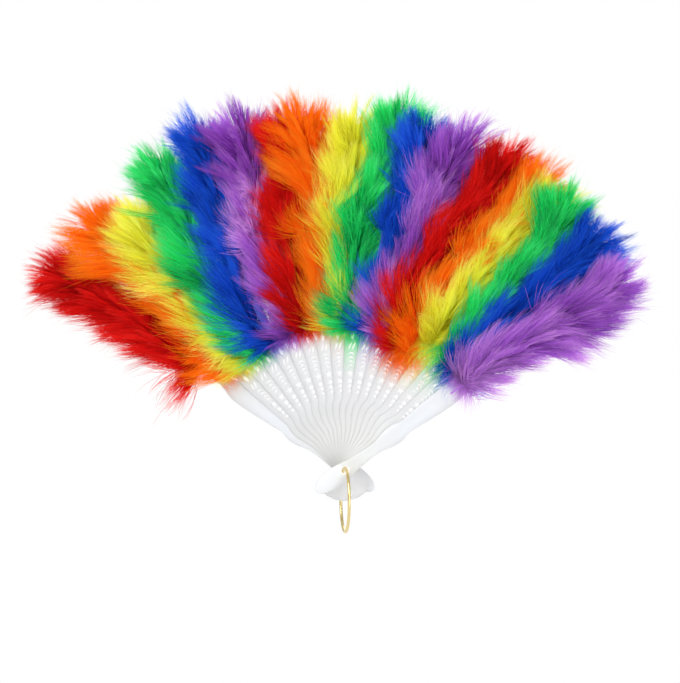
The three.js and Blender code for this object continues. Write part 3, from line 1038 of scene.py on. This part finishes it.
def bend_tufts(rng, shape, tufts):
    """Turns the fringe at the root down and curls the spray."""
    hang = tufts["hang"]
    spray = tufts["spray"]
    outer = hang & (tufts["side"] == shape["free_side"])
    fringe_turn = shape["wisps"][0]
    bends = (
        ("leave", hang, draw_degrees(rng, FRINGE_LEAVE) - fringe_turn),
        ("sweep", hang, draw_degrees(rng, FRINGE_SWEEP)),
        ("leave", spray, draw_degrees(rng, SPRAY_LEAVE)),
        ("sweep", spray, draw_degrees(rng, SPRAY_SWEEP)),
        ("rise", spray, draw_degrees(rng, SPRAY_RISE)),
        ("length", spray, rng.uniform(*SPRAY_LENGTH, TUFT_COUNT)),
        ("hook", spray, draw_degrees(rng, SPRAY_HOOK)),
        ("sweep", outer, draw_degrees(rng, OUTER_FRINGE_SWEEP) - fringe_turn),
        ("rise", hang, draw_degrees(rng, FRINGE_RISE)),
        ("length", hang, shape["fringe"] * rng.uniform(*FRINGE_LENGTH, TUFT_COUNT)),
    )
    for name, chosen, values in bends:
        tufts[name] = np.where(chosen, values, tufts[name])


def gather_tufts(rng, shape, tufts):
    """How far the barbs of each tuft draw together, and its tones."""
    share = tufts["share"]
    spray = tufts["spray"]
    fringe_draw = shape["wisps"][1]
    draw = np.interp(share, *ROOT_DRAW) * rng.uniform(*TUFT_DRAW, TUFT_COUNT)
    draw = draw + np.interp(share, *GATHERED) * (FULL_DRAW - draw)
    draw = np.where(spray, rng.uniform(*SPRAY_DRAW, TUFT_COUNT), draw)
    tufts["draw"] = np.where(tufts["hang"], fringe_draw, draw)

    tone = MIDDLE_TONE + TONE_WAVE * slow_wave(rng, tufts)
    tufts["tone"] = np.clip(tone + rng.uniform(-TONE_STRAY, TONE_STRAY, TUFT_COUNT), 0, 1)
    pale = shape["paleness"] * (1 + PALE_WAVE * slow_wave(rng, tufts))
    pale = np.clip(pale + shape["pale_root"] * np.clip(1 - share / PALE_ROOT_SHARE, 0, 1), 0, 1)
    tufts["pale"] = np.where(spray, np.maximum(pale, shape["pale_spray"]), pale)


def scatter_barbs(rng, shape, tufts):
    """The tuft of each barb, and how the barb differs from the others of its tuft."""
    tuft = np.repeat(np.arange(TUFT_COUNT), TUFT_BARBS)
    count = len(tuft)
    fringe = tufts["hang"][tuft]
    loose = rng.random(count) < LOOSE_SHARE
    place = tufts["share"][tuft] + rng.normal(0, TUFT_SPREAD / shape["length"], count)
    leave = rng.normal(0, LEAVE_SPREAD, count) * np.where(fringe, FRINGE_STRAY, 1.0)
    sweep = rng.normal(0, SWEEP_SPREAD, count) * np.where(loose | fringe, LOOSE_SWEEP, 1.0)
    rise = rng.normal(0, RISE_SPREAD, count)
    shortest = np.where(fringe, FRINGE_SHORTEST, SHORTEST)
    longest = LONGEST + FRINGE_LONGER * fringe
    return {
        "tuft": tuft,
        "fringe": fringe,
        "share": np.clip(place, shape["bare"], 1),
        "leave": tufts["leave"][tuft] + leave,
        "sweep": tufts["sweep"][tuft] + sweep,
        "rise": tufts["rise"][tuft] + rise,
        "length": tufts["length"][tuft] * rng.uniform(shortest, longest, count),
        "draw": tufts["draw"][tuft] * np.where(loose, LOOSE_DRAW, 1.0),
    }


def walk_barbs(rng, shape, tufts, barbs):
    """Each barb's way out from the shaft: aside in the plume's plane, up from it, and ahead."""
    tuft = barbs["tuft"]
    count = len(tuft)
    step = BARB_STEPS[None, :]
    bend = (barbs["sweep"] - barbs["leave"])[:, None]
    angle = barbs["leave"][:, None] + bend * step ** SWEEP_POWER
    angle = angle + tufts["hook"][tuft][:, None] * step ** 2
    lifted = barbs["rise"][:, None] + tufts["twist"][tuft][:, None] * step
    headings = np.stack([
        tufts["side"][tuft][:, None] * np.sin(angle) * np.cos(lifted),
        np.sin(angle) * np.sin(lifted),
        np.cos(angle),
    ])
    run = barbs["length"][None, :, None] / (BARB_POINTS - 1)
    walked = np.cumsum(headings[:, :, :-1] * run, axis=2)
    aside, height, ahead = np.concatenate([np.zeros((3, count, 1)), walked], axis=2)
    root_width = np.interp(barbs["share"], (0, ROOT_RUN), (shape["root_width"], 0))
    root_spread = np.where(barbs["fringe"], FRINGE_SPREAD, root_width)
    aside = aside + (root_spread * rng.normal(0, 1, count))[:, None]
    return aside, height, ahead


def place_barbs(shape, tufts, barbs, walk):
    """Points of the barbs on an upright stick, kept down by the next plume and drawn together in tufts."""
    aside, height, ahead = walk
    tuft = barbs["tuft"]
    distance = shape["root"] + shape["length"] * barbs["share"]
    spacing = np.clip(distance / FULL_ROOM, *ROOM_RANGE)[:, None]
    covered = np.clip((aside / spacing - COVER_START) / (COVER_FULL - COVER_START), 0, 1)
    room = spacing * (OPEN_ROOM + (COVERED_ROOM - OPEN_ROOM) * covered)
    behind = spacing * BACK_ROOM
    height = np.where(height > 0, room * np.tanh(height / room), behind * np.tanh(height / behind))
    tilt = np.where(tufts["hang"], 0.0, PLUME_TILT)[tuft][:, None]
    swing = shaft_heading(shape, barbs["share"])[:, None]
    tilted = aside * np.cos(tilt) + height * np.sin(tilt)
    walked = np.stack([
        tilted * np.cos(swing) + ahead * np.sin(swing),
        aside * np.sin(tilt) - height * np.cos(tilt),
        ahead * np.cos(swing) - tilted * np.sin(swing),
    ], axis=-1)
    line = shaft_line(shape, barbs["share"])[:, None, :] + walked
    middle = line.reshape(TUFT_COUNT, TUFT_BARBS, BARB_POINTS, 3).mean(axis=1)
    pull = barbs["draw"][:, None, None] * (BARB_STEPS ** DRAW_POWER)[None, :, None]
    return line + pull * (middle[tuft] - line)


def settle_barbs(rng, stick, barbs, line):
    """Lets the barbs hang and wave a little, bow with their layer and stay inside the fan."""
    count = len(line)
    step = BARB_STEPS[None, :]
    length = barbs["length"][:, None]
    turn = stick_turn(stick)
    sag = SAG * length * step ** 2
    line[..., 0] += sag * math.sin(turn)
    line[..., 2] -= sag * math.cos(turn)
    phase = step * rng.uniform(*BARB_WAVES, count)[:, None] + rng.random(count)[:, None]
    wave = WAVE * length * np.sin(2 * math.pi * phase) * step
    wave_turn = rng.uniform(0, 2 * math.pi, count)[:, None]
    line[..., 0] += wave * np.cos(wave_turn)
    line[..., 1] += wave * np.sin(wave_turn)
    line[..., 1] += layer_bow(stick, np.hypot(line[..., 0], line[..., 2]))
    line[..., 1] = settled(line[..., 1])


def barb_sides(rng, shape, barbs, line):
    """Half of each barb's width, across the barb at every point of it."""
    count = len(line)
    along = np.gradient(line, axis=1)
    along /= np.linalg.norm(along, axis=2, keepdims=True)
    roll = rng.uniform(-1.0, 1.0, count)
    facing = np.stack([np.sin(roll), -np.cos(roll), np.zeros(count)], axis=1)
    across = np.cross(along, facing[:, None, :])
    across /= np.maximum(np.linalg.norm(across, axis=2, keepdims=True), 1e-9)
    taper = np.interp(BARB_STEPS, *BARB_TAPER)
    fringe_width = shape["wisps"][2]
    half_width = 0.5 * BARB_WIDTH * np.where(barbs["fringe"], fringe_width, 1.0)
    return across * (half_width[:, None, None] * taper[None, :, None])


def barb_tones(rng, tufts, barbs):
    """At every point: its share of the barb, the barb's tone, its tuft's tone, and its paleness."""
    tuft = barbs["tuft"]
    tone = np.empty((len(tuft), BARB_POINTS, 4), np.float32)
    tone[..., 0] = BARB_STEPS[None, :]
    tone[..., 1] = rng.random(len(tuft))[:, None]
    tone[..., 2] = tufts["tone"][tuft][:, None]
    tone[..., 3] = tufts["pale"][tuft][:, None]
    return tone


def grow_barbs(rng, shape):
    """The middle line of every barb, its half width and its tones."""
    tufts = stand_tufts(rng, shape)
    lean_tufts(rng, shape, tufts)
    bend_tufts(rng, shape, tufts)
    gather_tufts(rng, shape, tufts)
    barbs = scatter_barbs(rng, shape, tufts)
    walk = walk_barbs(rng, shape, tufts, barbs)
    line = place_barbs(shape, tufts, barbs, walk)
    settle_barbs(rng, shape["stick"], barbs, line)
    across = barb_sides(rng, shape, barbs, line)
    return line, across, barb_tones(rng, tufts, barbs)


def ribbon_mesh(name, line, across, tone):
    """One mesh of narrow pointed ribbons."""
    count, points = line.shape[:2]
    rows = points - 1
    left = (line - across)[:, :rows]
    right = (line + across)[:, :rows]
    corners = np.concatenate([left, right, line[:, rows:]], axis=1)
    per_barb = corners.shape[1]
    tones = np.concatenate([tone[:, :rows], tone[:, :rows], tone[:, rows:]], axis=1)

    loops = []
    starts = []
    for row in range(rows - 1):
        starts.append(len(loops))
        loops += [row, rows + row, rows + row + 1, row + 1]
    starts.append(len(loops))
    loops += [rows - 1, 2 * rows - 1, 2 * rows]
    first = np.arange(count)[:, None]
    all_loops = (first * per_barb + np.array(loops)[None, :]).ravel()
    all_starts = (first * len(loops) + np.array(starts)[None, :]).ravel()

    mesh = bpy.data.meshes.new(name)
    mesh.vertices.add(count * per_barb)
    mesh.vertices.foreach_set("co", np.ascontiguousarray(corners, np.float32).ravel())
    mesh.loops.add(len(all_loops))
    mesh.loops.foreach_set("vertex_index", all_loops.astype(np.int32))
    mesh.polygons.add(len(all_starts))
    mesh.polygons.foreach_set("loop_start", all_starts.astype(np.int32))
    mesh.polygons.foreach_set("use_smooth", np.ones(len(all_starts), bool))
    row = mesh.attributes.new("Barb", "FLOAT_COLOR", "POINT")
    row.data.foreach_set("color", np.ascontiguousarray(tones, np.float32).ravel())
    mesh.update(calc_edges=True)
    return mesh


def add_quill(shape):
    """The tapered shaft, as a bevelled curve made a mesh."""
    stick = shape["stick"]
    share = np.linspace(shape["quill"], QUILL_END, QUILL_POINTS)
    points = shaft_line(shape, share)
    points[:, 1] += layer_bow(stick, np.hypot(points[:, 0], points[:, 2]))
    points = turned(stick, points)
    curve = bpy.data.curves.new("quill_line", "CURVE")
    curve.dimensions = "3D"
    curve.bevel_depth = 0.5 * MM
    curve.bevel_resolution = 1
    curve.use_fill_caps = True
    spline = curve.splines.new("POLY")
    spline.points.add(len(points) - 1)
    for knot, place, along in zip(spline.points, points, share):
        knot.co = (*place, 1)
        knot.radius = 1.0 - QUILL_TAPER * max(along, 0)
    quill = add_object("quill", curve)
    only(quill)
    bpy.ops.object.convert(target="MESH")
    bpy.ops.object.shade_smooth()
    return quill


def make_plume(stick, level, down, quills):
    rng = np.random.default_rng(PLUME_SEEDS * stick + LEVELS.index(level))
    shape = plume_shape(rng, stick, level)
    colour = colour_of(stick)
    name = f"down_{level}_{stick:02d}"
    line, across, tone = grow_barbs(rng, shape)
    plume = add_object(name, ribbon_mesh(name, turned(stick, line), turned(stick, across), tone))
    plume.data.materials.append(down[colour])
    quill = add_quill(shape)
    quill.data.materials.append(quills[colour])
    join_into(plume, quill)
    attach(plume, stick_body(stick))
    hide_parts(f"plume_{level}_{stick:02d}")
    middle = shape["root"] + 0.5 * shape["length"]
    plane = layer_front(stick) + float(layer_bow(stick, middle))
    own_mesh(plume)


# Stage, light and camera

FLOOR = -0.30
WHITE = (1, 1, 1, 1)
# Each lamp's name, place, aim, width in metres and power in watts
LAMPS = (
    ("key", (-0.8, -1.3, 1.2), (0, 0, 0.1), 1.0, 17.5),
    ("fill", (1.0, -1.4, 0.4), (0, 0, 0.1), 1.2, 7.2),
    ("lift", (0.7, -1.2, -0.2), (0, 0, 0), 0.8, 3.6),
    ("behind", (0.3, 1.5, 0.9), (0, 0, 0.1), 1.2, 4.5),
)
PIXEL = 0.688 * MM
PHOTO_WIDTH = 680
PHOTO_HEIGHT = 683
PIVOT_PIXEL = (345, 469.7)
CAMERA_DISTANCE = 1.7
SENSOR_WIDTH = 36


def seen_by(tree, *rays):
    """One where a ray of any of these kinds arrives, and nothing elsewhere."""
    path = add_node(tree, "ShaderNodeLightPath").outputs
    seen = path[rays[0]]
    for ray in rays[1:]:
        seen = calculate(tree, "MAXIMUM", seen, path[ray])
    return seen


def make_stage():
    """A white floor whose shadow fades away from the fan."""
    bpy.ops.mesh.primitive_plane_add(size=12, location=(0, 0, FLOOR))
    floor = bpy.context.active_object
    floor.name = "floor"
    material, tree, shader = new_material("white_floor")
    set_inputs(tree, shader, {"Base Color": (0.85, 0.85, 0.85, 1), "Roughness": 0.9})
    glow = add_node(tree, "ShaderNodeEmission", {"Strength": 1.0})
    seen = seen_by(tree, "Is Camera Ray", "Is Glossy Ray", "Is Transmission Ray")
    distance = length_of(tree, own_place(tree))
    fade = map_range(tree, distance, start=0.2, end=0.65, low=0.75, easing="SMOOTHSTEP")
    share = calculate(tree, "MULTIPLY", seen, fade)
    mix_surface(tree, "Material Output", share, shader.outputs["BSDF"], glow.outputs["Emission"])
    floor.data.materials.append(material)


def make_world():
    world = bpy.data.worlds.new("studio")
    bpy.context.scene.world = world
    world.use_nodes = True
    tree = world.node_tree
    soft = tree.nodes["Background"]
    set_inputs(tree, soft, {"Color": WHITE, "Strength": 0.64})
    white = add_node(tree, "ShaderNodeBackground", {"Color": WHITE, "Strength": 1.0})
    seen = seen_by(tree, "Is Camera Ray", "Is Transmission Ray")
    mix_surface(tree, "World Output", seen, soft.outputs["Background"], white.outputs["Background"])


def make_lamp(name, place, target, size, power):
    data = bpy.data.lights.new(name, "AREA")
    data.shape = "DISK"
    data.size = size
    data.energy = power
    lamp = add_object(name, data)
    lamp.location = place
    lamp.rotation_euler = (Vector(target) - Vector(place)).to_track_quat("-Z", "Y").to_euler()


def make_camera():
    data = bpy.data.cameras.new("camera")
    data.sensor_fit = "HORIZONTAL"
    data.sensor_width = SENSOR_WIDTH
    data.lens = SENSOR_WIDTH * CAMERA_DISTANCE / (PHOTO_WIDTH * PIXEL)
    camera = add_object("camera", data)
    x = (PHOTO_WIDTH / 2 - PIVOT_PIXEL[0]) * PIXEL
    z = (PIVOT_PIXEL[1] - PHOTO_HEIGHT / 2) * PIXEL
    camera.location = (x, -CAMERA_DISTANCE, z)
    camera.rotation_euler = (math.pi / 2, 0, 0)
    bpy.context.scene.camera = camera


def make_fan():
    plastic = plastic_material()
    dyed_down = dyed_down_group()
    down = {colour: down_material(colour, dyed_down) for colour in COLOURS}
    quills = {colour: quill_material(colour) for colour in COLOURS}
    guard_blade = blade_mesh(True)
    inner_blade = blade_mesh(False)
    for stick in range(1, STICK_COUNT + 1):
        make_stick(stick, guard_blade if is_guard(stick) else inner_blade, plastic)
        for level in LEVELS:
            make_plume(stick, level, down, quills)
    make_ring(gold_material())


make_stage()
make_world()
for lamp_row in LAMPS:
    make_lamp(*lamp_row)
make_camera()
make_fan()
bpy.context.scene.view_settings.view_transform = "Standard"
